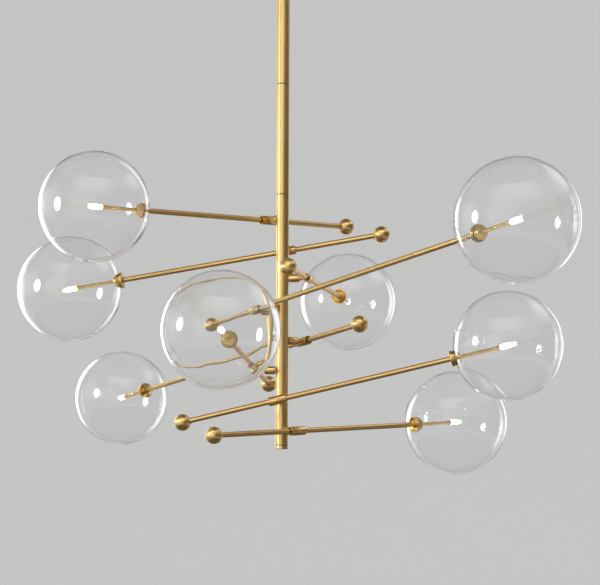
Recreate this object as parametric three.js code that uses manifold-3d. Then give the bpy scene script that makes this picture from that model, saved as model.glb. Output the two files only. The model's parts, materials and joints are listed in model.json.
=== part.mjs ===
// Bubble chandelier: a brass column hung from a ceiling canopy, with eight balanced arms that
// each carry a clear blown-glass globe at one end and a brass ball at the other.
// Millimetres, +Z up. The origin is the centre of the mounting strap's top face, on the ceiling.
import * as THREE from 'three';
import { mergeVertices } from 'three/addons/utils/BufferGeometryUtils.js';
import Module from 'manifold-3d';

const wasm = await Module();
wasm.setup();

// Gaps
const clearance = 0.3;
const overrun = 2;

// Canopy, a shallow drum open to the ceiling, with a strap across it that takes the ceiling screws
// and a hub for the drop rod below
const canopyDiameter = 150;
const canopyHeight = 30;
const canopyWall = 1.5;
const canopyEdgeRadius = 7;
const strapWidth = 26;
const strapThickness = 3;
const strapScrewSpacing = 88;
const strapScrewHole = 5;
const hubDiameter = 38;
const hubHeight = 10;
const hubSocketDepth = 14;

// Column and drop rods, all of one tube
const tubeDiameter = 24;
const tubeWall = 2;
const tubeChamfer = 0.6;
const upperDropLength = 201;
const lowerDropLength = 212.7;
const columnLength = 485.3;
const columnPlugLength = 8;
const columnPlugSeam = 6.5;
const seamWidth = 0.6;
const seamDepth = 0.5;
const spigotLength = 14;
const spigotWall = 3;

// Stub that holds each arm's sleeve off the column
const stubReach = 49;
const stubRootDiameter = 8.4;
const stubRootInset = 2;
const collarDiameter = 15.5;
const collarStandoff = 1.5;
const collarLength = 20;
const collarChamfer = 0.8;
const collarGrooveWidth = 0.8;
const collarGrooveDepth = 0.7;
const collarGrooveSetback = 2.4;
const stubNeckDiameter = 7.2;
const pivotDiameter = 5.2;
const pivotHeadDiameter = 8.4;
const pivotHeadThickness = 1.2;
const stubWireHole = 2.6;

// Sleeve that swivels on the stub, and the arm rod held in it
const sleeveDiameter = 17;
const sleeveLength = 34;
const sleeveRimWall = 1.5;
const sleeveRecessDepth = 3;
const sleeveLipThickness = 1.4;
const rodDiameter = 10;
const rodWall = 1.4;
const rodWireHole = 3.6;

// Counterweight ball
const ballDiameter = 32;
const ballReach = 187;
const ballSocketDepth = 10;

// Blown-glass globe
const globeDiameter = 204;
const glassThickness = 2.5;
const globeHoleDiameter = 24;

// Gallery that holds the globe, with the candle tube and lamp holder inside it
const galleryDiameter = 31;
const galleryFrontThickness = 3.6;
const galleryGrooveWidth = 0.9;
const galleryGrooveDepth = 2.4;
const galleryBackThickness = 2.2;
const galleryBackInset = 0.8;
const galleryRimWidth = 2;
const galleryDishDepth = 2.2;
const rodSocketDepth = 8;
const gasketRoom = 0.8;
const expanderRingOverlap = 1.2;
const expanderRingThickness = 1.6;
const innerCupLength = 6;
const innerCupTaper = 2.5;
const candleTubeDiameter = 7;
const candleWireHole = 3;
const lampHolderDiameter = 8.8;
const lampHolderLength = 8;
const lampSocketDepth = 5;

// Lamp, a small capsule that sits just behind the globe's centre
const lampDiameter = 9;
const lampBaseDiameter = 6.2;
const lampBack = 15;
const lampTip = 9;

// Longest arm, from its sleeve to the centre of its globe
const longestReach = 782;

// Arms from the top down: turn of the stub about the column and tilt of the arm in degrees,
// level as a share of the column's length, and reach as a share of the longest arm's
const armShares = [
  { turn: 125.3, tilt: 0.1, level: 0.9072, reach: 0.492 },
  { turn: 81.0, tilt: -9.3, level: 0.7863, reach: 0.559 },
  { turn: -11.2, tilt: -1.9, level: 0.6695, reach: 0.570 },
  { turn: -147.3, tilt: 7.1, level: 0.5526, reach: 1.000 },
  { turn: 33.8, tilt: -7.6, level: 0.4246, reach: 0.922 },
  { turn: 173.7, tilt: 6.3, level: 0.3085, reach: 0.600 },
  { turn: -99.4, tilt: 13.1, level: 0.1900, reach: 0.567 },
  { turn: -54.2, tilt: 2.9, level: 0.0711, reach: 0.498 },
];

// Facets round each piece
const tubeSides = 16;
const canopySides = 18;
const stubSides = 8;
const rodSides = 10;
const drilledSides = 8;
const sleeveSides = 10;
const ballSides = 10;
const globeSides = 14;
const gallerySides = 10;
const lampSides = 8;

// Levels below the ceiling
const hubEndZ = -(canopyHeight + hubHeight);
const upperRodEndZ = hubEndZ - upperDropLength;
const lowerRodEndZ = upperRodEndZ - clearance - lowerDropLength;
const columnTopZ = lowerRodEndZ - clearance;
const columnEndZ = columnTopZ - columnLength;

// Radii and places that several pieces share
const tubeRadius = tubeDiameter / 2;
const tubeBore = tubeRadius - tubeWall;
const rodRadius = rodDiameter / 2;
const rodHole = rodRadius + clearance;
const sleeveRadius = sleeveDiameter / 2;
const globeRadius = globeDiameter / 2;
const globeInside = globeRadius - glassThickness;
const globeHole = globeHoleDiameter / 2;

// Height at which a ball of some radius, centred on zero, is as wide as a given radius
function ballHeight(ballRadius, radius) {
  return Math.sqrt(ballRadius ** 2 - radius ** 2);
}

const glassSeatY = -ballHeight(globeRadius, globeHole);
const galleryBackY = glassSeatY - clearance;
const gallerySocketY = galleryBackY - galleryBackThickness - galleryGrooveWidth
  - galleryFrontThickness + rodSocketDepth;

const brass = new THREE.MeshStandardMaterial({ color: '#b8893f', roughness: 0.34, metalness: 1 });
const polishedBrass = new THREE.MeshStandardMaterial({ color: '#c4964a', roughness: 0.2, metalness: 1 });
const clearGlass = new THREE.MeshStandardMaterial({
  color: '#eef3f5',
  roughness: 0.03,
  metalness: 0,
  transparent: true,
  opacity: 0.25,
});
const lampGlass = new THREE.MeshStandardMaterial({
  color: '#fff6e8',
  roughness: 0.4,
  metalness: 0,
  emissive: '#ffe2bd',
});

// Points [radius, height] on an arc about [centreRadius, centreHeight], angles in degrees
function arc(centreRadius, centreHeight, radius, from, to, steps) {
  const points = [];
  for (let step = 0; step <= steps; step += 1) {
    const angle = THREE.MathUtils.degToRad(from + (to - from) * step / steps);
    points.push([centreRadius + radius * Math.cos(angle), centreHeight + radius * Math.sin(angle)]);
  }
  return points;
}

// An outline of [radius, height] points turned about the y axis, then laid along x or z
function turned(outline, sides, axis = 'y') {
  const points = outline.map(([radius, height]) => new THREE.Vector2(Math.max(radius, 0), height));
  const geometry = new THREE.LatheGeometry(points, sides);
  if (axis === 'x') geometry.rotateZ(-Math.PI / 2);
  if (axis === 'z') geometry.rotateX(Math.PI / 2);
  return geometry;
}

// A ring: the outline of a turned piece with a hole right through, closed on its first point
function ring(outline) {
  return [...outline, outline[0]];
}

function plainRod(radius, from, to, sides, axis) {
  return turned([[0, from], [radius, from], [radius, to], [0, to]], sides, axis);
}

// A closed solid from a geometry, without the sliver faces that a turned outline has at its poles
function solidOf(geometry) {
  geometry.deleteAttribute('normal');
  geometry.deleteAttribute('uv');
  const merged = mergeVertices(geometry);
  const index = merged.index.array;
  const triVerts = [];
  for (let i = 0; i < index.length; i += 3) {
    const [a, b, c] = index.slice(i, i + 3);
    if (a !== b && b !== c && c !== a) triVerts.push(a, b, c);
  }
  return new wasm.Manifold(new wasm.Mesh({
    numProp: 3,
    vertProperties: new Float32Array(merged.attributes.position.array),
    triVerts: new Uint32Array(triVerts),
  }));
}

function geometryOf(solid) {
  const { vertProperties, triVerts } = solid.getMesh();
  const geometry = new THREE.BufferGeometry();
  geometry.setAttribute('position', new THREE.BufferAttribute(vertProperties, 3));
  geometry.setIndex(new THREE.BufferAttribute(triVerts, 1));
  geometry.computeVertexNormals();
  return geometry;
}

function piece(name, solid, material) {
  const mesh = new THREE.Mesh(geometryOf(solid), material);
  mesh.name = name;
  return mesh;
}

// Radius of a round hole that leaves a gap all round a turning shaft, whatever its facets
function runningHole(shaftDiameter, sides) {
  return (shaftDiameter / 2 + clearance) / Math.cos(Math.PI / sides);
}

// The strap's ends run into the wall of the drum
function strapSolid() {
  const reach = (canopyDiameter - canopyWall) / 2;
  const bar = new THREE.BoxGeometry(canopyDiameter, strapWidth, strapThickness);
  bar.translate(0, 0, -strapThickness / 2);
  const round = plainRod(reach, -strapThickness, 0, canopySides, 'z');
  let strap = solidOf(bar).intersect(solidOf(round));
  for (const side of [-1, 1]) {
    const hole = plainRod(strapScrewHole / 2, -strapThickness - overrun, overrun, drilledSides, 'z');
    hole.translate(side * strapScrewSpacing / 2, 0, 0);
    strap = strap.subtract(solidOf(hole));
  }
  return strap;
}

function canopySolid() {
  const radius = canopyDiameter / 2;
  const hubRadius = hubDiameter / 2;
  const socket = tubeRadius + clearance;
  const edge = arc(radius - canopyEdgeRadius, canopyEdgeRadius - canopyHeight, canopyEdgeRadius, -90, 0, 2);
  const inner = canopyEdgeRadius - canopyWall;
  const innerEdge = arc(radius - canopyEdgeRadius, canopyEdgeRadius - canopyHeight, inner, 0, -90, 2);
  const drum = solidOf(turned(ring([
    [radius - canopyWall, 0],
    ...innerEdge,
    [hubRadius - canopyWall, canopyWall - canopyHeight],
    [hubRadius - canopyWall, hubEndZ + hubSocketDepth],
    [socket, hubEndZ + hubSocketDepth],
    [socket, hubEndZ],
    [hubRadius, hubEndZ],
    [hubRadius, -canopyHeight],
    ...edge,
    [radius, 0],
  ]), canopySides, 'z'));
  return drum.add(strapSolid());
}

// A drop rod with its shoulder at zero, a spigot below and a body above
function dropRodSolid(bodyLength) {
  const spigotRadius = tubeBore - clearance;
  const spigotBore = spigotRadius - spigotWall;
  return solidOf(turned(ring([
    [spigotBore, -spigotLength],
    [spigotRadius, -spigotLength],
    [spigotRadius, 0],
    [tubeRadius - tubeChamfer, 0],
    [tubeRadius, tubeChamfer],
    [tubeRadius, bodyLength],
    [tubeBore, bodyLength],
    [tubeBore, spigotWall],
    [spigotBore, spigotWall],
  ]), tubeSides, 'z'));
}

// The column: plugged below, open above, with a hole through one wall for each stub
function columnSolid() {
  let column = solidOf(turned([
    [0, 0],
    [tubeRadius - tubeChamfer, 0],
    [tubeRadius, tubeChamfer],
    [tubeRadius, columnPlugSeam],
    [tubeRadius - seamDepth, columnPlugSeam + seamWidth / 2],
    [tubeRadius, columnPlugSeam + seamWidth],
    [tubeRadius, columnLength],
    [tubeBore, columnLength],
    [tubeBore, columnPlugLength],
    [0, columnPlugLength],
  ], tubeSides, 'z'));
  const stubHole = stubRootDiameter / 2 + clearance;
  for (const arm of armShares) {
    const hole = plainRod(stubHole, tubeBore - overrun, tubeRadius + overrun, stubSides, 'x');
    hole.rotateZ(THREE.MathUtils.degToRad(arm.turn));
    hole.translate(0, 0, arm.level * columnLength);
    column = column.subtract(solidOf(hole));
  }
  return column;
}

// The stub lies along x from the column's axis, with a headed pivot at its outer end
function stubSolid() {
  const collarStart = tubeRadius + collarStandoff;
  const collarEnd = collarStart + collarLength;
  const grooveEnd = collarEnd - collarGrooveSetback;
  const grooveStart = grooveEnd - collarGrooveWidth;
  const collarRadius = collarDiameter / 2;
  const headStart = stubReach - sleeveRadius + sleeveLipThickness + clearance;
  return solidOf(turned(ring([
    [stubWireHole / 2, tubeBore - stubRootInset],
    [stubRootDiameter / 2, tubeBore - stubRootInset],
    [stubRootDiameter / 2, collarStart],
    [collarRadius, collarStart],
    [collarRadius, grooveStart],
    [collarRadius - collarGrooveDepth, (grooveStart + grooveEnd) / 2],
    [collarRadius, grooveEnd],
    [collarRadius, collarEnd - collarChamfer],
    [collarRadius - collarChamfer, collarEnd],
    [stubNeckDiameter / 2, collarEnd],
    [stubNeckDiameter / 2, stubReach - sleeveRadius - clearance],
    [pivotDiameter / 2, stubReach - sleeveRadius - clearance],
    [pivotDiameter / 2, headStart],
    [pivotHeadDiameter / 2, headStart],
    [pivotHeadDiameter / 2, headStart + pivotHeadThickness],
    [stubWireHole / 2, headStart + pivotHeadThickness],
  ]), stubSides, 'x'));
}

// The sleeve lies along y: a recess at each end, and a pocket that holds the pivot's head
function sleeveSolid() {
  const half = sleeveLength / 2;
  const recess = sleeveRadius - sleeveRimWall;
  const body = solidOf(turned(ring([
    [rodHole, sleeveRecessDepth - half],
    [recess, sleeveRecessDepth - half],
    [recess, -half],
    [sleeveRadius, -half],
    [sleeveRadius, half],
    [recess, half],
    [recess, half - sleeveRecessDepth],
    [rodHole, half - sleeveRecessDepth],
  ]), sleeveSides));
  const pivotHole = runningHole(pivotDiameter, drilledSides);
  const headPocket = runningHole(pivotHeadDiameter, drilledSides);
  return body
    .subtract(solidOf(plainRod(pivotHole, -sleeveRadius - overrun, 0, drilledSides, 'x')))
    .subtract(solidOf(plainRod(headPocket, sleeveLipThickness - sleeveRadius, 0, drilledSides, 'x')));
}

// The rod is a tube along y, with a hole in its side where the wires come in from the stub
function rodSolid(from, to) {
  const bore = rodRadius - rodWall;
  const tube = solidOf(turned(ring([
    [bore, from],
    [rodRadius, from],
    [rodRadius, to],
    [bore, to],
  ]), rodSides));
  const wireHole = plainRod(rodWireHole / 2, -rodRadius - overrun, 0, drilledSides, 'x');
  return tube.subtract(solidOf(wireHole));
}

// The ball's centre is at zero, and its socket opens towards +y
function ballSolid() {
  const radius = ballDiameter / 2;
  const mouthAngle = THREE.MathUtils.radToDeg(Math.acos(rodHole / radius));
  return solidOf(turned([
    ...arc(0, 0, radius, -90, mouthAngle, 6),
    [rodHole, radius - ballSocketDepth],
    [0, radius - ballSocketDepth],
  ], ballSides));
}

// The globe's centre is at zero, and its hole faces -y
function globeSolid() {
  const outerMouth = THREE.MathUtils.radToDeg(Math.acos(globeHole / globeRadius));
  const innerMouth = THREE.MathUtils.radToDeg(Math.acos(globeHole / globeInside));
  return solidOf(turned([
    ...arc(0, 0, globeInside, 90, -innerMouth, 7),
    ...arc(0, 0, globeRadius, -outerMouth, 90, 7),
  ], globeSides));
}

// The gallery lies along y with the globe's centre at zero. Two discs stand outside the glass.
// A hub passes its hole, an expander ring opens behind it, and a candle tube leads to the lamp.
function gallerySolid() {
  const radius = galleryDiameter / 2;
  const hubRadius = globeHole * Math.cos(Math.PI / globeSides) - clearance;
  const grooveEnd = galleryBackY - galleryBackThickness;
  const grooveStart = grooveEnd - galleryGrooveWidth;
  const frontY = grooveStart - galleryFrontThickness;
  const ringRadius = globeHole + expanderRingOverlap;
  const ringStart = gasketRoom - ballHeight(globeInside, ringRadius);
  const ringEnd = ringStart + expanderRingThickness;
  const cupEnd = ringEnd + innerCupLength;
  const holderStart = -lampBack - lampHolderLength;
  const lampSocket = lampBaseDiameter / 2 + clearance;
  return solidOf(turned(ring([
    [candleWireHole / 2, gallerySocketY],
    [rodHole, gallerySocketY],
    [rodHole, frontY + galleryDishDepth],
    [radius - galleryRimWidth, frontY + galleryDishDepth / 2],
    [radius - galleryRimWidth, frontY],
    [radius, frontY],
    [radius, grooveStart],
    [radius - galleryGrooveDepth, (grooveStart + grooveEnd) / 2],
    [radius - galleryBackInset, grooveEnd],
    [radius - galleryBackInset, galleryBackY],
    [hubRadius, galleryBackY],
    [hubRadius, ringStart],
    [ringRadius, ringStart],
    [ringRadius, ringEnd],
    [hubRadius - innerCupTaper, cupEnd],
    [candleTubeDiameter / 2, cupEnd],
    [candleTubeDiameter / 2, holderStart],
    [lampHolderDiameter / 2, holderStart],
    [lampHolderDiameter / 2, -lampBack],
    [lampSocket, -lampBack],
    [lampSocket, -lampBack - lampSocketDepth],
    [candleWireHole / 2, -lampBack - lampSocketDepth],
  ]), gallerySides));
}

// The lamp's base stands in the holder, and its capsule ends in a dome past the globe's centre
function lampSolid() {
  const radius = lampDiameter / 2;
  const shoulderY = clearance - lampBack;
  return solidOf(turned([
    [0, clearance - lampBack - lampSocketDepth],
    [lampBaseDiameter / 2, clearance - lampBack - lampSocketDepth],
    [lampBaseDiameter / 2, shoulderY],
    [radius, shoulderY],
    ...arc(0, lampTip - radius, radius, 0, 90, 2),
  ], lampSides));
}

const chandelier = new THREE.Group();
chandelier.add(piece('ceiling_canopy', canopySolid(), brass));

// The upper rod runs on into the hub and ends one clearance short of the socket's inner end
const upperRodLength = upperDropLength + hubSocketDepth - clearance;
const upperRod = piece('upper_drop_rod', dropRodSolid(upperRodLength), brass);
upperRod.position.z = upperRodEndZ;
chandelier.add(upperRod);

const lowerRod = piece('lower_drop_rod', dropRodSolid(lowerDropLength), brass);
lowerRod.position.z = lowerRodEndZ;
chandelier.add(lowerRod);

const column = piece('column', columnSolid(), brass);
column.position.z = columnEndZ;
chandelier.add(column);

const stub = stubSolid();
const sleeve = sleeveSolid();
const ball = ballSolid();
const globe = globeSolid();
const gallery = gallerySolid();
const lamp = lampSolid();

for (const [index, arm] of armShares.entries()) {
  const number = index + 1;
  const reach = arm.reach * longestReach;

  const stubFrame = new THREE.Group();
  stubFrame.position.z = columnEndZ + arm.level * columnLength;
  stubFrame.rotation.z = THREE.MathUtils.degToRad(arm.turn);
  stubFrame.add(piece(`swivel_stub_${number}`, stub, brass));
  chandelier.add(stubFrame);

  const armFrame = new THREE.Group();
  armFrame.position.x = stubReach;
  armFrame.rotation.x = THREE.MathUtils.degToRad(arm.tilt);
  stubFrame.add(armFrame);

  const rodStart = clearance + ballDiameter / 2 - ballSocketDepth - ballReach;
  const rodEnd = reach + gallerySocketY - clearance;
  armFrame.add(piece(`swivel_sleeve_${number}`, sleeve, brass));
  armFrame.add(piece(`arm_rod_${number}`, rodSolid(rodStart, rodEnd), brass));

  const ballMesh = piece(`counterweight_ball_${number}`, ball, polishedBrass);
  ballMesh.position.y = -ballReach;
  armFrame.add(ballMesh);

  const globeFrame = new THREE.Group();
  globeFrame.position.y = reach;
  globeFrame.add(piece(`globe_gallery_${number}`, gallery, brass));
  globeFrame.add(piece(`glass_globe_${number}`, globe, clearGlass));
  globeFrame.add(piece(`lamp_${number}`, lamp, lampGlass));
  armFrame.add(globeFrame);
}

export default chandelier;
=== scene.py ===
# Bubble chandelier: the finished look of every piece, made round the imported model.
# Metres, +Z up, with the origin at the centre of the mounting strap's top face.
import json
import math

import bmesh
import bpy
from mathutils import Matrix, Vector, noise


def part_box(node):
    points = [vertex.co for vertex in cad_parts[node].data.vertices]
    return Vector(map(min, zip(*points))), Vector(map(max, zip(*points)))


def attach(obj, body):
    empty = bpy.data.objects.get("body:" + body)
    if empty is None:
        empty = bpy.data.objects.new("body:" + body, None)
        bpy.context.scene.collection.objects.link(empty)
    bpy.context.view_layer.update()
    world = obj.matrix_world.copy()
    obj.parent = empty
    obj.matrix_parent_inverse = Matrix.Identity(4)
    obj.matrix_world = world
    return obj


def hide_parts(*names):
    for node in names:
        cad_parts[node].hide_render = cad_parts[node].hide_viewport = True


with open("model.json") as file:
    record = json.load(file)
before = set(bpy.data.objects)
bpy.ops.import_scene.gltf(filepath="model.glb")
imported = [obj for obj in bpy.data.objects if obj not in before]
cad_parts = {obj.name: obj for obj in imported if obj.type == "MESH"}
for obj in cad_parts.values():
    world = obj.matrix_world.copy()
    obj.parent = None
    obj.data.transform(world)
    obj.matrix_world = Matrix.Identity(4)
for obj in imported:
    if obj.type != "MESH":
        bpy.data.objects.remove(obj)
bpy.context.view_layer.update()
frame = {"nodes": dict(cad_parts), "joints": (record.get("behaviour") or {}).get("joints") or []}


# Camera, where the photograph was taken from
camera = {
    "place": (0.0334, -3.994, -0.9334),
    "lens": 126.0,            # mm
    "sensor": 36.0,           # mm
    "farthest": 100.0,
    "pitch": 94.18,           # degrees from straight down
    "roll": 0.19,
}


def addCamera():
    data = bpy.data.cameras.new("camera")
    data.lens = camera["lens"]
    data.sensor_width = camera["sensor"]
    data.clip_end = camera["farthest"]
    shot = bpy.data.objects.new("camera", data)
    bpy.context.scene.collection.objects.link(shot)
    aim = Matrix.Rotation(math.radians(camera["pitch"]), 4, "X")
    roll = Matrix.Rotation(math.radians(camera["roll"]), 4, "Z")
    shot.matrix_world = Matrix.Translation(camera["place"]) @ aim @ roll
    bpy.context.scene.camera = shot


addCamera()


# Shader maths: a Wire is one output socket, and sums of wires add Math nodes
class Wire:
    def __init__(self, finish, socket):
        self.finish = finish
        self.socket = socket

    def maths(self, operation, first, second):
        return self.finish.node("ShaderNodeMath", {"operation": operation}, {0: first, 1: second})

    def __add__(self, other):
        return self.maths("ADD", self, other)

    def __radd__(self, other):
        return self.maths("ADD", other, self)

    def __sub__(self, other):
        return self.maths("SUBTRACT", self, other)

    def __rsub__(self, other):
        return self.maths("SUBTRACT", other, self)

    def __mul__(self, other):
        return self.maths("MULTIPLY", self, other)

    def __rmul__(self, other):
        return self.maths("MULTIPLY", other, self)

    def __gt__(self, other):
        return self.maths("GREATER_THAN", self, other)


# A Finish is one material, or the world's or a light's colour, and the nodes in it
class Finish:
    def __init__(self, name, owner=None):
        self.material = owner or bpy.data.materials.new(name)
        self.material.use_nodes = True
        self.tree = self.material.node_tree
        self.tree.nodes.clear()

    def node(self, kind, settings=None, inputs=None, output=0):
        made = self.tree.nodes.new(kind)
        for key, value in (settings or {}).items():
            setattr(made, key, value)
        for key, value in (inputs or {}).items():
            if isinstance(value, Wire):
                self.tree.links.new(value.socket, made.inputs[key])
            else:
                made.inputs[key].default_value = value
        return Wire(self, made.outputs[output])

    # Sockets 0, 6 and 7 and output 2 are the ones that a Mix node of colours uses
    def mix(self, share, first, second):
        return self.node("ShaderNodeMix", {"data_type": "RGBA"}, {0: share, 6: first, 7: second}, 2)

    def vector(self, operation, first, second=(0.0, 0.0, 0.0), output=0):
        return self.node("ShaderNodeVectorMath", {"operation": operation}, {0: first, 1: second}, output)

    def scaled(self, vector, size):
        return self.node("ShaderNodeVectorMath", {"operation": "SCALE"}, {0: vector, "Scale": size})

    # The place on the piece as it was drawn, before it was turned and moved on to the model
    def place(self):
        return self.node("ShaderNodeAttribute", {"attribute_name": "place"}, output="Vector")

    def cloud(self, vector, scale, detail, roughness=0.5):
        return self.node("ShaderNodeTexNoise", {}, {
            "Vector": vector, "Scale": scale, "Detail": detail, "Roughness": roughness})

    def lightPath(self, output):
        return self.node("ShaderNodeLightPath", {}, {}, output)

    def show(self, shader, kind="ShaderNodeOutputMaterial"):
        result = self.tree.nodes.new(kind)
        self.tree.links.new(shader.socket, result.inputs["Surface"])
        return self.material


# Satin brass, in three finishes. Fine marks run round each piece, as its abrasive did, and lean
# the surface a little across themselves, which draws the highlights out along the piece.
brass = {
    "light": (0.80, 0.55, 0.23, 1.0),
    "dark": (0.64, 0.41, 0.14, 1.0),
    "patinaScale": 26.0,      # blotches to a metre
    "patinaShare": 0.6,
    "streakScale": 330.0,     # streaks round the piece, to a metre
    "streakShare": 0.4,
    "markScale": 9000.0,      # fine marks to a metre
    "markShare": 0.2,
    "darker": 0.1,            # taken off the sum of the three
}
brassFinishes = {
    "tubeBrass": {"roughness": 0.30, "spread": 0.08, "lean": 1.2},
    "turnedBrass": {"roughness": 0.27, "spread": 0.08, "lean": 0.35},
    "ballBrass": {"roughness": 0.24, "spread": 0.06, "lean": 2.4},
}


def makeBrass(name):
    look = brassFinishes[name]
    finish = Finish(name)
    place = finish.place()
    turn = finish.node("ShaderNodeAttribute", {"attribute_name": "around"}, output="Vector")
    around = finish.node("ShaderNodeVectorTransform", {
        "vector_type": "VECTOR", "convert_from": "OBJECT", "convert_to": "WORLD"}, {0: turn})
    normal = finish.node("ShaderNodeNewGeometry", {}, {}, "Normal")
    across = finish.vector("CROSS_PRODUCT", normal, around)
    height = finish.node("ShaderNodeSeparateXYZ", {}, {0: place}, "Z")
    flat = finish.vector("MULTIPLY", place, (1.0, 1.0, 0.0))
    radius = finish.vector("LENGTH", flat, output="Value")
    ring = finish.node("ShaderNodeCombineXYZ", {}, {"X": radius, "Y": height})
    marks = finish.cloud(ring, brass["markScale"], 2.0, 0.55)
    streak = finish.cloud(ring, brass["streakScale"], 2.0, 0.5)
    patina = finish.cloud(place, brass["patinaScale"], 4.0, 0.55)
    tone = patina * brass["patinaShare"] + streak * brass["streakShare"]
    tone = tone + marks * brass["markShare"] - brass["darker"]
    colour = finish.mix(tone, brass["dark"], brass["light"])
    rough = look["roughness"] + (patina + marks - 1.0) * look["spread"]
    lean = finish.scaled(across, (marks - 0.5) * look["lean"])
    leaning = finish.vector("NORMALIZE", finish.vector("ADD", normal, lean))
    shader = finish.node("ShaderNodeBsdfPrincipled", {}, {
        "Base Color": colour, "Metallic": 1.0, "Roughness": rough, "Normal": leaning})
    return finish.show(shader)


# Clear blown glass. Light from lamps and off rough surfaces goes straight through.
glass = {
    "colour": (0.985, 0.99, 0.99, 1.0),
    "shade": (0.96, 0.965, 0.965, 1.0),
    "ior": 1.5,
    "deepest": 8.5,           # walls that bend what is seen, before the rest are passed straight
}


def makeGlass():
    finish = Finish("clearGlass")
    body = finish.node("ShaderNodeBsdfPrincipled", {}, {
        "Base Color": glass["colour"], "Roughness": 0.0, "IOR": glass["ior"], "Transmission Weight": 1.0})
    straight = finish.node("ShaderNodeBsdfTransparent", {}, {"Color": glass["shade"]})
    tooDeep = finish.lightPath("Transmission Depth") > glass["deepest"]
    passed = (finish.lightPath("Is Shadow Ray") + finish.lightPath("Is Diffuse Ray") + tooDeep) > 0.5
    return finish.show(finish.node("ShaderNodeMixShader", {}, {0: passed, 1: body, 2: straight}))


# Glass of the capsule lamp, white-hot along its middle and warmer towards its base
lampLook = {
    "hot": (1.0, 0.94, 0.86, 1.0),
    "warm": (1.0, 0.82, 0.64, 1.0),
    "warmShare": 0.3,         # of the capsule's length, from its base
    "strength": 9.0,
    "paint": (0.95, 0.92, 0.87, 1.0),
    "roughness": 0.35,
    "spread": 0.15,
    "speckleScale": 700.0,
}
lampSpan = {"pin": -0.0197, "base": -0.0147, "tip": 0.009}  # heights from the globe's centre


def makeLampGlass():
    finish = Finish("lampGlass")
    base, tip = lampSpan["base"], lampSpan["tip"]
    place = finish.place()
    height = finish.node("ShaderNodeSeparateXYZ", {}, {0: place}, "Z")
    warmEnd = base + (tip - base) * lampLook["warmShare"]
    rise = finish.node("ShaderNodeMapRange", {}, {0: height, 1: base, 2: warmEnd, 3: 0.0, 4: 1.0})
    speckle = finish.cloud(place, lampLook["speckleScale"], 2.0)
    glow = finish.mix(rise, lampLook["warm"], lampLook["hot"])
    shader = finish.node("ShaderNodeBsdfPrincipled", {}, {
        "Base Color": lampLook["paint"], "Roughness": lampLook["roughness"] + speckle * lampLook["spread"],
        "Emission Color": glow, "Emission Strength": lampLook["strength"]})
    return finish.show(shader)


# Finishes with one soft cloud over them: the grey silicone of the gaskets, also given to the dark rings
# that paint shade into the tubes' seams, and the dark steel of the sleeves' small screws
cloudedFinishes = {
    "siliconeAndSeamShade": {
        "dark": (0.10, 0.10, 0.10, 1.0), "light": (0.17, 0.165, 0.16, 1.0), "metallic": 0.0,
        "roughness": 0.5, "spread": 0.2, "scale": 500.0},
    "screwSteel": {
        "dark": (0.17, 0.13, 0.08, 1.0), "light": (0.27, 0.21, 0.13, 1.0), "metallic": 1.0,
        "roughness": 0.3, "spread": 0.15, "scale": 1500.0},
}


def makeClouded(name):
    look = cloudedFinishes[name]
    finish = Finish(name)
    cloud = finish.cloud(finish.place(), look["scale"], 3.0)
    colour = finish.mix(cloud, look["dark"], look["light"])
    rough = look["roughness"] + cloud * look["spread"]
    shader = finish.node("ShaderNodeBsdfPrincipled", {}, {
        "Base Color": colour, "Metallic": look["metallic"], "Roughness": rough})
    return finish.show(shader)


tubeBrass = makeBrass("tubeBrass")
turnedBrass = makeBrass("turnedBrass")
ballBrass = makeBrass("ballBrass")
clearGlass = makeGlass()
lampGlass = makeLampGlass()
siliconeAndSeamShade = makeClouded("siliconeAndSeamShade")
screwSteel = makeClouded("screwSteel")
print("materials made")


# Mesh helpers. Every turned piece is drawn as an outline of (radius, height) and spun about its own z.
upright = Matrix.Identity(4)
creaseAngle = 42.0            # degrees, from which an edge isn't shaded smooth


def arcOf(centre, radius, start, end, steps):
    turns = [math.radians(start + (end - start) * step / steps) for step in range(steps + 1)]
    return [(centre[0] + radius * math.cos(t), centre[1] + radius * math.sin(t)) for t in turns]


def spinOutline(outline, steps, closed=False):
    bm = bmesh.new()
    corners = [bm.verts.new((radius, 0.0, height)) for radius, height in outline]
    pairs = list(zip(corners, corners[1:]))
    if closed:
        pairs.append((corners[-1], corners[0]))
    lines = [bm.edges.new(pair) for pair in pairs]
    bmesh.ops.spin(bm, geom=corners + lines, cent=(0, 0, 0), axis=(0, 0, 1), dvec=(0, 0, 0),
                   angle=math.tau, steps=steps, use_merge=True)
    bmesh.ops.remove_doubles(bm, verts=bm.verts, dist=1e-7)
    bmesh.ops.recalc_face_normals(bm, faces=bm.faces)
    return bm


def easeEdges(bm, width, segments=2, least=25.0):
    sharp = [edge for edge in bm.edges if edge.is_manifold and edge.calc_face_angle() > math.radians(least)]
    bmesh.ops.bevel(bm, geom=sharp, offset=width, offset_type="OFFSET", segments=segments,
                    profile=0.5, affect="EDGES", clamp_overlap=True, material=-1)
    return bm


def vertsIn(parts):
    return [part for part in parts if isinstance(part, bmesh.types.BMVert)]


def placeFrom(origin, xAxis, zAxis):
    place = Matrix((xAxis, zAxis.cross(xAxis), zAxis)).transposed().to_4x4()
    place.translation = origin
    return place


def finishPiece(name, bm, place, body, slot, material, *nodes):
    placeLayer = bm.verts.layers.float_vector.new("place")
    aroundLayer = bm.verts.layers.float_vector.new("around")
    turned = place.to_3x3()
    for vert in bm.verts:
        vert[placeLayer] = vert.co
        vert[aroundLayer] = turned @ Vector((-vert.co.y, vert.co.x, 0.0)).normalized()
    mesh = bpy.data.meshes.new(name)
    bm.to_mesh(mesh)
    bm.free()
    mesh.transform(place)
    mesh.shade_smooth()
    mesh.set_sharp_from_angle(angle=math.radians(creaseAngle))
    mesh.materials.append(material)
    piece = bpy.data.objects.new(name, mesh)
    bpy.context.scene.collection.objects.link(piece)
    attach(piece, body)
    if nodes:
        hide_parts(*nodes)
    return piece


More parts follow.
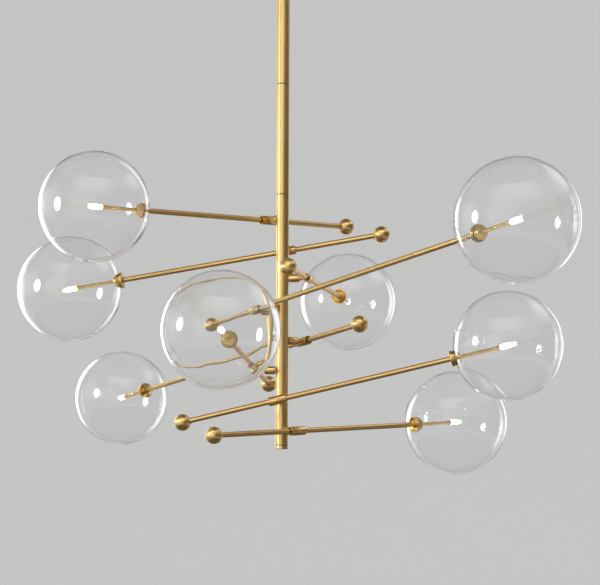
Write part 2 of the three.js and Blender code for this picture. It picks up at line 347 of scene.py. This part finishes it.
# A round screw with a six-sided socket, its head's face at height zero
def socketScrew(screw):
    bm = bmesh.new()
    outer = bmesh.ops.create_circle(bm, cap_ends=False, radius=screw["radius"], segments=24)["verts"]
    inner = bmesh.ops.create_circle(bm, cap_ends=False, radius=screw["socket"], segments=6)["verts"]
    rim = [edge for edge in bm.edges if edge.verts[0] in outer]
    hole = [edge for edge in bm.edges if edge.verts[0] in inner]
    bmesh.ops.bridge_loops(bm, edges=rim + hole)
    bmesh.ops.translate(bm, verts=outer, vec=(0, 0, -screw["dome"]))
    wall = bmesh.ops.extrude_edge_only(bm, edges=rim)["geom"]
    bmesh.ops.translate(bm, verts=vertsIn(wall), vec=(0, 0, screw["dome"] - screw["length"]))
    well = bmesh.ops.extrude_edge_only(bm, edges=hole)["geom"]
    bmesh.ops.translate(bm, verts=vertsIn(well), vec=(0, 0, -screw["socket"]))
    bmesh.ops.holes_fill(bm, edges=bm.edges, sides=30)
    bmesh.ops.recalc_face_normals(bm, faces=bm.faces)
    return bm


# Column and drop rods, one tube in three lengths with a fine seam where they meet
tube = {
    "radius": 0.012,
    "bore": 0.010,
    "spigot": 0.014,          # the part of each drop rod that is inside the next tube
    "relief": 0.0013,         # depth and height of the step at each joint, whose own shade and a dark ring of painted shade in it make a fine dark line
    "reliefEdge": 0.0002,
    "shadeRing": 0.0113,         # outer radius of the dark ring in that step, painted shade along the seam
    "steps": 72,
}
plug = {
    "seam": 0.0065,           # height of its seam above the column's end
    "seamWidth": 0.0007,
    "seamDepth": 0.0013,
    "chamfer": 0.0006,
    "dish": 0.55,             # shares of the radius, between which its dished end rises
    "dishEdge": 0.62,
    "ease": 0.00015,
}


def tubeOutline(low, high):
    radius, relief, edge = tube["radius"], tube["relief"], tube["reliefEdge"]
    return [
        (tube["bore"], low),
        (radius - relief, low),
        (radius - relief, low + relief),
        (radius - edge, low + relief),
        (radius, low + relief + edge),
        (radius, high - edge),
        (radius - edge, high),
        (tube["bore"], high),
    ]


def makeTubes():
    joints = []
    for node, name in (("upper_drop_rod", "upper_tube"), ("lower_drop_rod", "lower_tube")):
        low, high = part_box(node)
        shoulder = low.z + tube["spigot"]
        joints.append(shoulder)
        bm = spinOutline(tubeOutline(shoulder, high.z), tube["steps"], closed=True)
        finishPiece(name, bm, upright, "root", "brass", tubeBrass, node)
    low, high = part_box("column")
    seam = low.z + plug["seam"]
    plugTop = seam + plug["seamWidth"]
    bm = spinOutline(tubeOutline(plugTop, high.z), tube["steps"], closed=True)
    finishPiece("column_tube", bm, upright, "root", "brass", tubeBrass, "column")
    radius, chamfer = tube["radius"], plug["chamfer"]
    bm = spinOutline([
        (0, low.z + chamfer),
        (radius * plug["dish"], low.z + chamfer),
        (radius * plug["dishEdge"], low.z),
        (radius - chamfer, low.z),
        (radius, low.z + chamfer),
        (radius, seam),
        (radius - plug["seamDepth"], seam),
        (radius - plug["seamDepth"], plugTop),
        (0, plugTop),
    ], tube["steps"])
    finishPiece("column_plug", easeEdges(bm, plug["ease"]), upright, "root", "brass", turnedBrass)
    # Dark grey rings in the seams' steps: painted shade, so that each joint reads as a dark line
    bore, shadeRing, thickness = tube["bore"], tube["shadeRing"], tube["relief"]
    for number, joint in enumerate((plugTop, *joints), 1):
        bm = spinOutline([
            (bore, joint), (shadeRing, joint), (shadeRing, joint + thickness), (bore, joint + thickness),
        ], tube["steps"], closed=True)
        finishPiece(f"tube_shade_ring_{number}", bm, upright, "root", "brass", siliconeAndSeamShade)


makeTubes()
print("column and drop rods made")


# Canopy, a shallow drum with a soft edge, open to the ceiling. Its hub takes the drop rod, which
# a nut holds inside, and two screws hold the drum to the tabs of the strap across its top.
canopy = {
    "radius": 0.075,
    "height": 0.030,
    "wall": 0.0015,
    "edge": 0.007,
    "lip": 0.0006,
    "ease": 0.0002,
    "steps": 120,
}
canopyHub = {
    "radius": 0.019,
    "height": 0.010,
    "socket": 0.0123,
    "socketDepth": 0.014,
    "fillet": 0.0035,
    "footInset": 0.0008,      # a small step round its end, and where the step has sloped out again
    "footHeight": 0.0016,
    "footTop": 0.0022,
}
nut = {"bore": 0.0122, "radius": 0.0170, "height": 0.005, "sides": 6, "ease": 0.0004}


def makeDrum():
    radius, floor, edge, wall = canopy["radius"], -canopy["height"], canopy["edge"], canopy["wall"]
    hub, fillet, socket = canopyHub["radius"], canopyHub["fillet"], canopyHub["socket"]
    foot = hub - canopyHub["footInset"]
    end = floor - canopyHub["height"]
    top = end + canopyHub["socketDepth"]
    corner = (radius - edge, floor + edge)
    outline = [(radius - wall, 0)] + arcOf(corner, edge - wall, 0, -90, 8)
    outline += [
        (hub - wall, floor + wall),
        (hub - wall, top),
        (socket, top),
        (socket, end),
        (foot, end),
        (foot, end + canopyHub["footHeight"]),
        (hub, end + canopyHub["footTop"]),
    ]
    outline += arcOf((hub + fillet, floor - fillet), fillet, 180, 90, 6)
    outline += arcOf(corner, edge, -90, 0, 10)
    outline += [(radius, -canopy["lip"]), (radius - canopy["lip"], 0)]
    bm = easeEdges(spinOutline(outline, canopy["steps"], closed=True), canopy["ease"])
    finishPiece("canopy_drum", bm, upright, "root", "brass", turnedBrass, "ceiling_canopy")
    bore, side, nutTop = nut["bore"], nut["radius"], top + nut["height"]
    bm = spinOutline([
        (bore, top), (side, top), (side, nutTop), (bore, nutTop),
    ], nut["sides"], closed=True)
    finishPiece("hub_nut", easeEdges(bm, nut["ease"]), upright, "root", "brass", turnedBrass)


# Mounting strap: its outline is the part of a disc between its long edges, with a hole for each
# ceiling screw. A tab hangs from each end, and a screw goes into it through the drum's wall.
strap = {
    "width": 0.026,
    "thickness": 0.003,
    "clearance": 0.0002,      # to the drum's wall
    "screwSpacing": 0.088,
    "screwHole": 0.0025,
    "ease": 0.0003,
    "steps": 180,
    "holeSteps": 24,
}
tab = {"thickness": 0.0015, "width": 0.014, "depth": 0.013, "setback": 0.0004, "ease": 0.0004}
canopyScrew = {
    "radius": 0.0032,
    "length": 0.0022,
    "socket": 0.0013,
    "dome": 0.0006,
    "proud": 0.0016,          # of the drum's wall
    "drop": 0.011,            # below the ceiling
    "ease": 0.00015,
}


def makeStrap():
    half, thickness = strap["width"] / 2, strap["thickness"]
    reach = canopy["radius"] - canopy["wall"] - strap["clearance"]
    bm = bmesh.new()
    bmesh.ops.create_circle(bm, cap_ends=False, radius=reach, segments=strap["steps"])
    for side in (-1, 1):
        bmesh.ops.bisect_plane(bm, geom=bm.verts[:] + bm.edges[:], plane_co=(0, side * half, 0),
                               plane_no=(0, side, 0), clear_outer=True)
        ends = [vert for vert in bm.verts if abs(vert.co.y - side * half) < 1e-6]
        bm.edges.new(ends)
    for side in (-1, 1):
        shift = Matrix.Translation((side * strap["screwSpacing"] / 2, 0, 0))
        bmesh.ops.create_circle(bm, cap_ends=False, radius=strap["screwHole"], segments=strap["holeSteps"],
                                matrix=shift)
    bmesh.ops.triangle_fill(bm, use_beauty=True, use_dissolve=False, edges=bm.edges[:])
    under = bmesh.ops.extrude_face_region(bm, geom=bm.faces[:], use_keep_orig=True)["geom"]
    bmesh.ops.translate(bm, verts=vertsIn(under), vec=(0, 0, -thickness))
    bmesh.ops.recalc_face_normals(bm, faces=bm.faces)
    finishPiece("mounting_strap", easeEdges(bm, strap["ease"]), upright, "root", "brass", tubeBrass)
    for number, side in enumerate((-1, 1), 1):
        size = (tab["thickness"], tab["width"], tab["depth"])
        middle = side * (reach - tab["setback"] - tab["thickness"] / 2)
        bm = bmesh.new()
        bmesh.ops.create_cube(bm, size=1.0, matrix=Matrix.Diagonal((*size, 1.0)))
        bmesh.ops.translate(bm, verts=bm.verts, vec=(middle, 0, -thickness - tab["depth"] / 2))
        finishPiece(f"strap_tab_{number}", easeEdges(bm, tab["ease"]), upright, "root", "brass", tubeBrass)
        outward = Vector((side, 0, 0))
        seat = outward * (canopy["radius"] + canopyScrew["proud"]) - Vector((0, 0, canopyScrew["drop"]))
        screwPlace = placeFrom(seat, Vector((0, 0, 1)), outward)
        bm = easeEdges(socketScrew(canopyScrew), canopyScrew["ease"])
        finishPiece(f"canopy_screw_{number}", bm, screwPlace, "root", "brass", turnedBrass)


makeDrum()
makeStrap()
print("canopy made")


# Swivel stub: root, collar with a groove near its outer end, neck with a small ring, and the pin
# that goes into the sleeve's boss. Starts are distances from the column's axis.
stub = {
    "rootStart": 0.0085,
    "rootRadius": 0.0042,
    "rootFlare": 0.0006,
    "rootFlareLength": 0.0003,
    "collarStart": 0.0135,
    "collarLength": 0.020,
    "collarRadius": 0.00775,
    "collarEdge": 0.0009,
    "grooveSetback": 0.0024,
    "grooveWidth": 0.0008,
    "grooveDepth": 0.0008,
    "grooveSlope": 0.3,       # share of the width that each of its sides slopes over
    "neckRadius": 0.0034,
    "neckGap": 0.0003,        # to the sleeve
    "ringRadius": 0.0048,
    "ringWidth": 0.0017,
    "pinRadius": 0.0026,
    "pinLength": 0.0016,
    "ease": 0.00018,
    "steps": 48,
}


def makeStub(arm):
    root, rootStart = stub["rootRadius"], stub["rootStart"]
    start, end = stub["collarStart"], stub["collarStart"] + stub["collarLength"]
    radius, edge = stub["collarRadius"], stub["collarEdge"]
    groove, width, slope = end - stub["grooveSetback"], stub["grooveWidth"], stub["grooveSlope"]
    grooveFloor = radius - stub["grooveDepth"]
    neck, neckEnd = stub["neckRadius"], arm["stubReach"] - sleeve["radius"] - stub["neckGap"]
    middle, half = (end + neckEnd) / 2, stub["ringWidth"] / 2
    pin, pinEnd = stub["pinRadius"], neckEnd + stub["pinLength"]
    bm = spinOutline([
        (0, rootStart),
        (root, rootStart),
        (root, start - stub["rootFlareLength"]),
        (root + stub["rootFlare"], start),
        (radius - edge / 2, start),
        (radius, start + edge / 2),
        (radius, groove - width),
        (grooveFloor, groove - width * (1 - slope)),
        (grooveFloor, groove - width * slope),
        (radius, groove),
        (radius, end - edge),
        (radius - edge, end),
        (neck, end),
        (neck, middle - half),
        (stub["ringRadius"], middle - half),
        (stub["ringRadius"], middle + half),
        (neck, middle + half),
        (neck, neckEnd),
        (pin, neckEnd),
        (pin, pinEnd),
        (0, pinEnd),
    ], stub["steps"])
    number = arm["number"]
    finishPiece(f"stub_{number}", easeEdges(bm, stub["ease"]), arm["atStub"], "root", "brass", turnedBrass,
                f"swivel_stub_{number}")


# Sleeve round the rod, recessed at both ends, with the boss that turns on the stub and a small
# screw under it
sleeve = {
    "radius": 0.0085,
    "length": 0.034,
    "rim": 0.0012,
    "recess": 0.0080,
    "rodHole": 0.0052,
    "floorEdge": 0.0012,      # width of a recess's flat floor, which then slopes out to the rim
    "floorSlope": 0.0008,
    "ease": 0.00022,
    "steps": 56,
}
boss = {"radius": 0.0044, "bore": 0.0027, "rise": 0.0002, "ease": 0.0001, "steps": 40}
sleeveScrew = {"radius": 0.0017, "length": 0.0022, "socket": 0.0009, "dome": 0.0, "setback": 0.0075}


def makeSleeve(arm):
    number, body, atPivot = arm["number"], arm["body"], arm["atPivot"]
    half, radius, hole = sleeve["length"] / 2, sleeve["radius"], sleeve["rodHole"]
    inner, floor = radius - sleeve["rim"], half - sleeve["recess"]
    floorEdge, slopeEnd = hole + sleeve["floorEdge"], floor + sleeve["floorSlope"]
    bm = spinOutline([
        (hole, -floor), (floorEdge, -floor), (inner, -slopeEnd), (inner, -half),
        (radius, -half), (radius, half),
        (inner, half), (inner, slopeEnd), (floorEdge, floor), (hole, floor),
    ], sleeve["steps"], closed=True)
    finishPiece(f"sleeve_{number}", easeEdges(bm, sleeve["ease"]), atPivot, body, "brass", turnedBrass,
                f"swivel_sleeve_{number}")
    depth = hole - radius
    bm = spinOutline([
        (boss["bore"], 0), (boss["radius"], 0), (boss["radius"], depth), (boss["bore"], depth),
    ], boss["steps"], closed=True)
    pivot = atPivot.translation
    stubWay, down, along = (atPivot.col[axis].to_3d() for axis in range(3))
    bossPlace = placeFrom(pivot - stubWay * (radius + boss["rise"]), along, -stubWay)
    finishPiece(f"sleeve_boss_{number}", easeEdges(bm, boss["ease"]), bossPlace, body, "brass", turnedBrass)
    screwPlace = placeFrom(pivot + down * radius - along * (half - sleeveScrew["setback"]), along, down)
    finishPiece(f"sleeve_screw_{number}", socketScrew(sleeveScrew), screwPlace, body, "brass", screwSteel)


# Arm rod, drawn from its end in the ball's socket to its end in the gallery's
rod = {
    "radius": 0.005,
    "gap": 0.0002,            # between it and the walls of those sockets
    "steps": 40,
}


def makeRod(arm):
    low, high = arm["rodSpan"]
    radius = rod["radius"]
    bm = spinOutline([(0, low), (radius, low), (radius, high), (0, high)], rod["steps"])
    number = arm["number"]
    finishPiece(f"rod_{number}", bm, arm["atPivot"], arm["body"], "brass", tubeBrass, f"arm_rod_{number}")


# Counterweight ball, with a small turned lip where the rod goes in
ball = {
    "radius": 0.016,
    "lipRadius": 0.0066,
    "lipWidth": 0.0012,
    "socketDepth": 0.004,     # below the lip's foot
    "ease": 0.00018,
    "arcSteps": 40,
    "steps": 72,
}


def makeBall(arm):
    radius, lip = ball["radius"], ball["lipRadius"]
    centre = arm["ballEnd"] + radius
    mouth = math.degrees(math.acos(lip / radius))
    shoulder = radius * math.sin(math.radians(mouth))
    rim, floor, hole = shoulder + ball["lipWidth"], shoulder - ball["socketDepth"], rod["radius"] + rod["gap"]
    outline = arcOf((0, 0), radius, -90, mouth, ball["arcSteps"])
    outline[0] = (0, -radius)  # exactly on the axis, so that the pole closes
    outline += [(lip, rim), (hole, rim), (hole, floor), (0, floor)]
    bm = spinOutline([(r, h + centre) for r, h in outline], ball["steps"])
    number = arm["number"]
    finishPiece(f"ball_{number}", easeEdges(bm, ball["ease"]), arm["atPivot"], arm["body"], "polished_brass",
                ballBrass, f"counterweight_ball_{number}")


# Gallery, turned in one look: two discs outside the glass, hub, spring ring and cup inside it,
# then the candle tube and the lamp holder. Heights are from the globe's centre.
gallery = {
    "radius": 0.0155,
    "front": 0.0036,          # thicknesses of the front disc, the groove and the back disc
    "groove": 0.0009,
    "back": 0.0022,
    "grooveDepth": 0.0026,
    "backInset": 0.0008,
    "glassGap": 0.0003,
    "rim": 0.0016,
    "dish": 0.0024,
    "collar": 0.0068,
    "collarInset": 0.0004,
    "wellDepth": 0.0012,      # of the well round the rod, inside the collar
    "socketDepth": 0.008,
    "hub": 0.0110,
    "ringRadius": 0.0132,
    "ringGap": 0.0008,
    "ring": 0.0016,
    "cupLength": 0.0065,
    "cupEndRadius": 0.0082,
    "candle": 0.0034,
    "candleFlare": 0.0008,
    "candleFoot": 0.0012,
    "candleRing": 0.0039,
    "candleRingHalf": 0.0007,
    "candleRingFoot": 0.0012,
    "holder": 0.0044,
    "holderLength": 0.008,
    "holderSlopeStart": 0.0008,
    "holderSlopeEnd": 0.0004,
    "lampGap": 0.0003,
    "pinHole": 0.0034,
    "pinDepth": 0.005,
    "ease": 0.00022,
    "steps": 72,
}
gasket = {"inner": 0.0121, "outer": 0.0144, "discGap": 0.00002, "glassGap": 0.00003}


def makeGallery(arm):
    seat = -math.sqrt(globe["radius"] ** 2 - globe["mouth"] ** 2)
    back = seat - gallery["glassGap"]
    backStart = back - gallery["back"]
    grooveStart = backStart - gallery["groove"]
    front = grooveStart - gallery["front"]
    radius, dish, collar = gallery["radius"], gallery["dish"], gallery["collar"]
    rim, groove, inset = (radius - gallery[part] for part in ("rim", "grooveDepth", "backInset"))
    hole, socketEnd = rod["radius"] + rod["gap"], front + gallery["socketDepth"]
    well = front + dish - gallery["wellDepth"]
    inside = globe["radius"] - globe["wall"]
    ringStart = gallery["ringGap"] - math.sqrt(inside ** 2 - gallery["ringRadius"] ** 2)
    cupStart = ringStart + gallery["ring"]
    cupEnd = cupStart + gallery["cupLength"]
    hub, cupMouth = gallery["hub"], gallery["cupEndRadius"]
    candle, candleRing, holder = gallery["candle"], gallery["candleRing"], gallery["holder"]
    base = lampSpan["base"]
    holderStart = base - gallery["lampGap"] - gallery["holderLength"]
    middle, half, foot = (cupEnd + holderStart) / 2, gallery["candleRingHalf"], gallery["candleRingFoot"]
    bowl = [(rim - (rim - collar) * share, front + dish * math.sin(math.pi / 2 * share))
            for share in (0.25, 0.5, 0.75, 1.0)]
    cup = [(cupMouth + (hub - cupMouth) * math.cos(math.pi / 2 * share),
            cupStart + gallery["cupLength"] * math.sin(math.pi / 2 * share))
           for share in (0.0, 0.25, 0.5, 0.75, 1.0)]
    outline = [(0, socketEnd), (hole, socketEnd), (hole, well), (collar - gallery["collarInset"], well)]
    outline += bowl[::-1]
    outline += [
        (rim, front),
        (radius, front),
        (radius, grooveStart),
        (groove, grooveStart),
        (groove, backStart),
        (inset, backStart),
        (inset, back),
        (hub, back),
        (hub, ringStart),
        (gallery["ringRadius"], ringStart),
        (gallery["ringRadius"], cupStart),
    ]
    outline += cup
    outline += [
        (candle + gallery["candleFlare"], cupEnd),
        (candle, cupEnd + gallery["candleFoot"]),
        (candle, middle - foot),
        (candleRing, middle - half),
        (candleRing, middle + half),
        (candle, middle + foot),
        (candle, holderStart - gallery["holderSlopeStart"]),
        (holder, holderStart + gallery["holderSlopeEnd"]),
        (holder, base - gallery["lampGap"]),
        (gallery["pinHole"], base - gallery["lampGap"]),
        (gallery["pinHole"], base - gallery["pinDepth"]),
        (0, base - gallery["pinDepth"]),
    ]
    number = arm["number"]
    bm = easeEdges(spinOutline(outline, gallery["steps"]), gallery["ease"])
    finishPiece(f"gallery_{number}", bm, arm["atGlobe"], arm["body"], "brass", turnedBrass,
                f"globe_gallery_{number}")
    inner, outer, discFace = gasket["inner"], gasket["outer"], back + gasket["discGap"]
    outerFace = -math.sqrt(globe["radius"] ** 2 - outer ** 2)
    bm = spinOutline([
        (inner, discFace), (outer, discFace),
        (outer, outerFace - gasket["glassGap"]), (inner, seat - gasket["glassGap"]),
    ], gallery["steps"], closed=True)
    finishPiece(f"gasket_{number}", bm, arm["atGlobe"], arm["body"], "clear_glass", siliconeAndSeamShade)


# Blown globe: two skins that stray a little from round, joined by a soft lip at the mouth
globe = {
    "radius": 0.102,
    "wall": 0.0025,
    "mouth": 0.012,
    "swell": 0.00022,         # how far the outer skin strays
    "waver": 0.00035,         # how far the inner skin strays
    "waverScale": 2.0,        # waves to a radius
    "rippleScale": 2.2,       # finer waves on the inner skin, to each broad one
    "rippleShare": 0.25,
    "mouthWaver": 1.0,        # how much more the inner skin strays near the mouth
    "fadeRate": 2.4,          # the waves fade out towards the mouth itself, to a radius
    "fadeStart": 0.3,
    "seed": (7.3, 1.9, 4.1),
    "lipEase": 0.0006,
    "lipSegments": 4,
    "lipAngle": 50.0,
    "arcSteps": 56,
    "steps": 112,
}


def makeGlobe(arm):
    radius, wall, mouth, steps = globe["radius"], globe["wall"], globe["mouth"], globe["arcSteps"]
    inside = radius - wall
    lipOut, lipIn = math.degrees(math.acos(mouth / radius)), math.degrees(math.acos(mouth / inside))
    outline = arcOf((0, 0), inside, 90, -lipIn, steps) + arcOf((0, 0), radius, -lipOut, 90, steps)
    outline[0], outline[-1] = (0, inside), (0, radius)
    bm = spinOutline(outline, globe["steps"])
    seed = Vector(globe["seed"]) * float(arm["number"])
    for vert in bm.verts:
        way = vert.co.normalized()
        away = (way + Vector((0, 0, 1))).length  # from the mouth, in radii
        fade = min(1.0, away * globe["fadeRate"] - globe["fadeStart"])
        near = 1.0 + globe["mouthWaver"] * max(0.0, 1.0 - away)
        wave = noise.noise(way * globe["waverScale"] + seed)
        ripple = noise.noise(way * globe["waverScale"] * globe["rippleScale"] + seed) * globe["rippleShare"]
        if vert.co.length > radius - wall / 2:
            vert.co += way * globe["swell"] * wave * fade
        else:
            vert.co += way * globe["waver"] * (wave + ripple) * fade * near
    number = arm["number"]
    bm = easeEdges(bm, globe["lipEase"], globe["lipSegments"], globe["lipAngle"])
    finishPiece(f"globe_{number}", bm, arm["atGlobe"], arm["body"], "clear_glass", clearGlass,
                f"glass_globe_{number}")


# Capsule lamp in its holder, with one round pin for its two wires
lamp = {
    "radius": 0.0045,
    "pinRadius": 0.0031,
    "edge": 0.0012,
    "edgeSteps": 4,
    "tipSteps": 12,
    "steps": 40,
}


def makeLamp(arm):
    radius, pin, edge = lamp["radius"], lamp["pinRadius"], lamp["edge"]
    pinEnd, start, tip = lampSpan["pin"], lampSpan["base"], lampSpan["tip"]
    outline = [(0, pinEnd), (pin, pinEnd), (pin, start)]
    outline += arcOf((radius - edge, start + edge), edge, -90, 0, lamp["edgeSteps"])
    outline += arcOf((0, tip - radius), radius, 0, 90, lamp["tipSteps"])
    outline[-1] = (0, tip)
    bm = spinOutline(outline, lamp["steps"])
    number = arm["number"]
    finishPiece(f"capsule_{number}", bm, arm["atGlobe"], arm["body"], "lamp_glass", lampGlass,
                f"lamp_{number}")


# Arms: each one's pivot, the way its stub and rod point, and where its parts lie along it
def spanAlong(node, origin, direction):
    reach = [(vert.co - origin).dot(direction) for vert in frame["nodes"][node].data.vertices]
    return min(reach), max(reach)


def readArm(joint):
    number = joint["child"].split("_")[1]
    pivot = Vector(joint["pos_m"])
    stubWay = Vector(joint["axis"]).normalized()
    low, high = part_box(f"arm_rod_{number}")
    rodWay = (low + high) / 2 - pivot
    rodWay = (rodWay - stubWay * rodWay.dot(stubWay)).normalized()
    far = spanAlong(f"glass_globe_{number}", pivot, rodWay)[1]
    centre = pivot + rodWay * (far - globe["radius"])
    return {
        "number": number,
        "body": joint["child"],
        "rodSpan": spanAlong(f"arm_rod_{number}", pivot, rodWay),
        "ballEnd": spanAlong(f"counterweight_ball_{number}", pivot, rodWay)[0],
        "atPivot": placeFrom(pivot, stubWay, rodWay),
        "atGlobe": placeFrom(centre, stubWay, rodWay),
        "atStub": placeFrom(Vector((0, 0, pivot.z)), Vector((0, 0, 1)), stubWay),
        "stubReach": math.hypot(pivot.x, pivot.y),
    }


for arm in [readArm(joint) for joint in frame["joints"]]:
    makeStub(arm)
    makeSleeve(arm)
    makeRod(arm)
    makeBall(arm)
    makeGallery(arm)
    makeGlobe(arm)
    makeLamp(arm)
    print("arm", arm["number"], "made")


# Studio: a pale floor that sweeps up into a round backdrop, open above, seen from its inside only
studio = {
    "floor": -2.4,
    "flat": 8.0,
    "cove": 3.0,
    "coveSteps": 24,
    "wall": 3.0,
    "steps": 128,
    "colour": (0.55, 0.55, 0.545, 1.0),
    "glow": 0.43,             # added to the paint where it is seen, and not to its light
    "world": 0.30,
    "worldSeen": 0.50,
}


def addStage(name, bm, material):
    mesh = bpy.data.meshes.new(name)
    bm.to_mesh(mesh)
    bm.free()
    mesh.shade_smooth()
    mesh.materials.append(material)
    stage = bpy.data.objects.new(name, mesh)
    bpy.context.scene.collection.objects.link(stage)
    return stage


# One where the camera looks, straight or by a reflection or through glass, and zero for light
def seenShare(finish):
    looks = finish.lightPath("Is Camera Ray") + finish.lightPath("Is Glossy Ray")
    return (looks + finish.lightPath("Is Transmission Ray")) > 0.5


def makeStudio():
    floor, flat, cove = studio["floor"], studio["flat"], studio["cove"]
    outline = [(0, floor)] + arcOf((flat, floor + cove), cove, -90, 0, studio["coveSteps"])
    outline.append((flat + cove, floor + cove + studio["wall"]))
    bm = spinOutline(outline, studio["steps"])
    bm.normal_update()
    for face in bm.faces:
        if face.normal.dot(face.calc_center_median()) > 0:
            face.normal_flip()
    finish = Finish("palePaint")
    coat = finish.node("ShaderNodeBsdfDiffuse", {}, {"Color": studio["colour"]})
    glow = finish.node("ShaderNodeEmission", {}, {
        "Color": studio["colour"], "Strength": seenShare(finish) * (studio["glow"] / studio["colour"][0])})
    paint = finish.node("ShaderNodeAddShader", {}, {0: coat, 1: glow})
    clear = finish.node("ShaderNodeBsdfTransparent")
    behind = finish.node("ShaderNodeNewGeometry", {}, {}, "Backfacing")
    shader = finish.node("ShaderNodeMixShader", {}, {0: behind, 1: paint, 2: clear})
    addStage("studio_floor", bm, finish.show(shader))
    world = bpy.data.worlds.new("studio")
    bpy.context.scene.world = world
    sky = Finish("studio", world)
    brightness = studio["world"] + seenShare(sky) * (studio["worldSeen"] - studio["world"])
    sky.show(sky.node("ShaderNodeBackground", {}, {"Strength": brightness}), "ShaderNodeOutputWorld")


# Dark cards that only reflections see, so that the polished curves have shade beside their shine
cards = {
    "radius": 4.6,
    "turns": (-6.0, -118.0),  # degrees to the left of the camera's side
    "heights": (-2.3, 1.9),
    "steps": 36,
    "floorRadius": 3.0,
    "floorHeight": -2.35,
    "headRadius": 2.2,
    "headHeight": 2.4,
    "discSteps": 48,
    "shade": (0.15, 0.14, 0.13, 1.0),
}


def makeCards():
    finish = Finish("darkCard")
    card = finish.show(finish.node("ShaderNodeEmission", {}, {"Color": cards["shade"]}))
    start, end = (math.radians(turn) for turn in cards["turns"])
    across, toward = -cards["radius"] * math.sin(start), -cards["radius"] * math.cos(start)
    bent = bmesh.new()
    foot, head = (bent.verts.new((across, toward, height)) for height in cards["heights"])
    edge = bent.edges.new((foot, head))
    bmesh.ops.spin(bent, geom=[foot, head, edge], cent=(0, 0, 0), axis=(0, 0, 1), dvec=(0, 0, 0),
                   angle=start - end, steps=cards["steps"], use_merge=False)
    low, high = bmesh.new(), bmesh.new()
    for bm, radius, height in ((low, cards["floorRadius"], cards["floorHeight"]),
                               (high, cards["headRadius"], cards["headHeight"])):
        bmesh.ops.create_circle(bm, cap_ends=True, radius=radius, segments=cards["discSteps"])
        bmesh.ops.translate(bm, verts=bm.verts, vec=(0, 0, height))
    for name, bm in (("side_card", bent), ("floor_card", low), ("head_card", high)):
        flat = addStage(name, bm, card)
        flat.visible_camera = False
        flat.visible_diffuse = False
        flat.visible_transmission = False
        flat.visible_shadow = False


# Soft lights, each aimed at the middle of the arms: the angle to the left of the camera's side and
# the angle up, in degrees, then distance, width and height, and how bright the panel looks. A core
# is the distance from the middle, as a share of the panel, within which it is at its full brightness.
lights = {
    "keyLight": {"turn": 74.0, "rise": 5.0, "away": 3.0, "size": (0.95, 1.1), "bright": 9.5, "core": 0.38},
    "sideLight": {"turn": 90.0, "rise": 8.0, "away": 3.4, "size": (4.2, 3.8), "bright": 1.0},
    "rimLight": {"turn": 147.0, "rise": 3.0, "away": 3.0, "size": (1.5, 2.7), "bright": 2.4, "core": 0.2},
    "backLight": {"turn": -146.0, "rise": 3.0, "away": 3.0, "size": (0.9, 2.2), "bright": 0.9, "core": 0.2},
    "topLight": {"turn": 4.0, "rise": 44.0, "away": 4.0, "size": (8.0, 5.0), "bright": 1.5},
    "loftLight": {"turn": -112.0, "rise": 40.0, "away": 4.0, "size": (4.4, 2.8), "bright": 1.3},
    "fillLight": {"turn": 30.0, "rise": 4.0, "away": 4.2, "size": (5.6, 5.6), "bright": 0.8},
}
broadCore = 0.05
lightAim = Vector((0.0, 0.0, -0.65))


# Each panel fades towards its edge, as cloth over a lamp does. The broad ones, which have no core
# of their own, aren't seen through the glass, as they would hide the backdrop.
def makeLights():
    for name, light in lights.items():
        data = bpy.data.lights.new(name, "AREA")
        data.shape = "ELLIPSE"
        data.size, data.size_y = light["size"]
        data.energy = math.pi * data.size * data.size_y * light["bright"]
        finish = Finish(name, data)
        spot = finish.node("ShaderNodeNewGeometry", {}, {}, "Parametric")
        off = finish.vector("DISTANCE", spot, (0.5, 0.5, 0.0), output="Value")
        fade = finish.node("ShaderNodeMapRange", {"interpolation_type": "SMOOTHSTEP"}, {
            0: off, 1: 0.5, 2: light.get("core", broadCore), 3: 0.0, 4: 1.0})
        colour = finish.mix(fade, (0, 0, 0, 1), (1, 1, 1, 1))
        finish.show(finish.node("ShaderNodeEmission", {}, {"Color": colour}), "ShaderNodeOutputLight")
        turn, rise = math.radians(light["turn"]), math.radians(light["rise"])
        way = Vector((-math.sin(turn) * math.cos(rise), -math.cos(turn) * math.cos(rise), math.sin(rise)))
        lit = bpy.data.objects.new(name, data)
        bpy.context.scene.collection.objects.link(lit)
        aim = way.to_track_quat("Z", "Y").to_matrix().to_4x4()
        lit.matrix_world = Matrix.Translation(lightAim + way * light["away"]) @ aim
        lit.visible_camera = False
        lit.visible_transmission = "core" in light


makeStudio()
makeCards()
makeLights()
bpy.context.scene.view_settings.view_transform = "Standard"
print("studio made")
